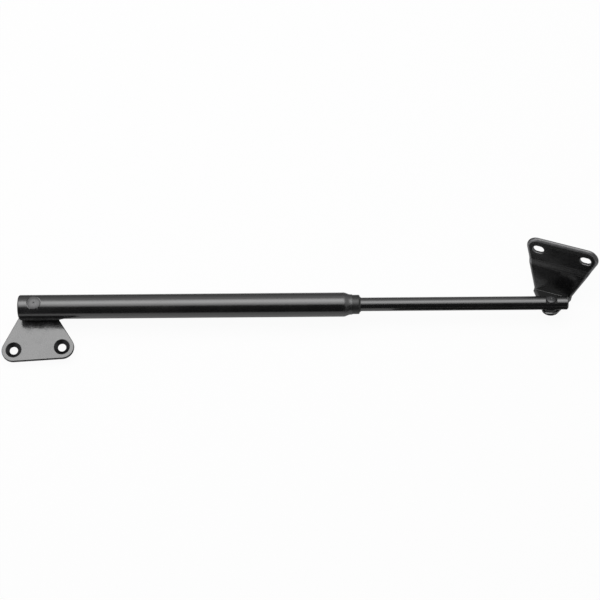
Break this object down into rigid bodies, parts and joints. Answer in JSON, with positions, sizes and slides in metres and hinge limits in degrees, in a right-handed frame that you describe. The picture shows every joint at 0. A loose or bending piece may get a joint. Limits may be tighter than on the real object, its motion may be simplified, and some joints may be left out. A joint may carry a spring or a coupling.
{
  "type": "flap stay",
  "caption": "Telescopic stay with a sprung rod and a riveted fixing plate at each end, to hold a flap or hatch open.",
  "frame": {"origin": "midway between the two screw holes of the flat plate, on the plate's back face", "axes": "+X along the two screw holes towards the rod's end, +Y from the screw holes towards the tube's pivot, +Z out of the panel that the flat plate is screwed to"},
  "size_m": [0.3946, 0.0524, 0.0432],
  "materials": {
    "black_coat": "satin-gloss black coat on steel",
    "black_rod": "smooth black coat on a steel rod",
    "black_fittings": "blackened steel",
    "black_plastic": "moulded black plastic",
    "zinc_steel": "zinc-plated steel",
    "spring_steel": "drawn spring wire",
    "acetal": "natural white acetal",
    "rubber": "black rubber"
  },
  "bodies": {
    "panel": {"panel_bracket": "black_coat", "panel_rivet": "black_fittings", "panel_collar": "zinc_steel", "panel_friction_washer": "zinc_steel"},
    "tube": {"outer_tube": "black_coat", "end_plug": "black_plastic", "pivot_spacer": "zinc_steel", "spring_stop": "zinc_steel", "compression_spring": "spring_steel", "rebound_buffer": "rubber", "guide_bush": "black_plastic", "wiper_ring": "rubber"},
    "carrier": {"spring_seat": "zinc_steel"},
    "rod": {"rod": "black_rod", "piston": "acetal", "piston_ring": "acetal", "piston_retainer": "spring_steel"},
    "flap": {"flap_bracket": "black_coat", "flap_rivet": "black_fittings", "flap_rivet_washer": "black_fittings", "flap_friction_washer": "black_fittings"}
  },
  "joints": [
    {"name": "panel_pivot", "type": "hinge", "parent": "panel", "child": "tube", "pos_m": [0, 0.026, 0.0107], "axis": [0, 0, 1], "continuous": true},
    {"name": "stay_slide", "type": "slide", "parent": "tube", "child": "carrier", "axis": [0.9981, -0.061, 0], "range_m": [-0.09, 0], "stiffness_N_per_m": 600, "springref_m": 0.1, "deforming": ["compression_spring"]},
    {"name": "rod_turn", "type": "hinge", "parent": "carrier", "child": "rod", "pos_m": [0.19963, 0.01379, 0.0107], "axis": [0.9981, -0.061, 0], "continuous": true},
    {"name": "flap_pivot", "type": "hinge", "parent": "rod", "child": "flap", "pos_m": [0.33976, 0.00522, 0.0107], "axis": [0.0281, 0.4593, 0.8878], "range_deg": [-190, 48]}
  ]
}
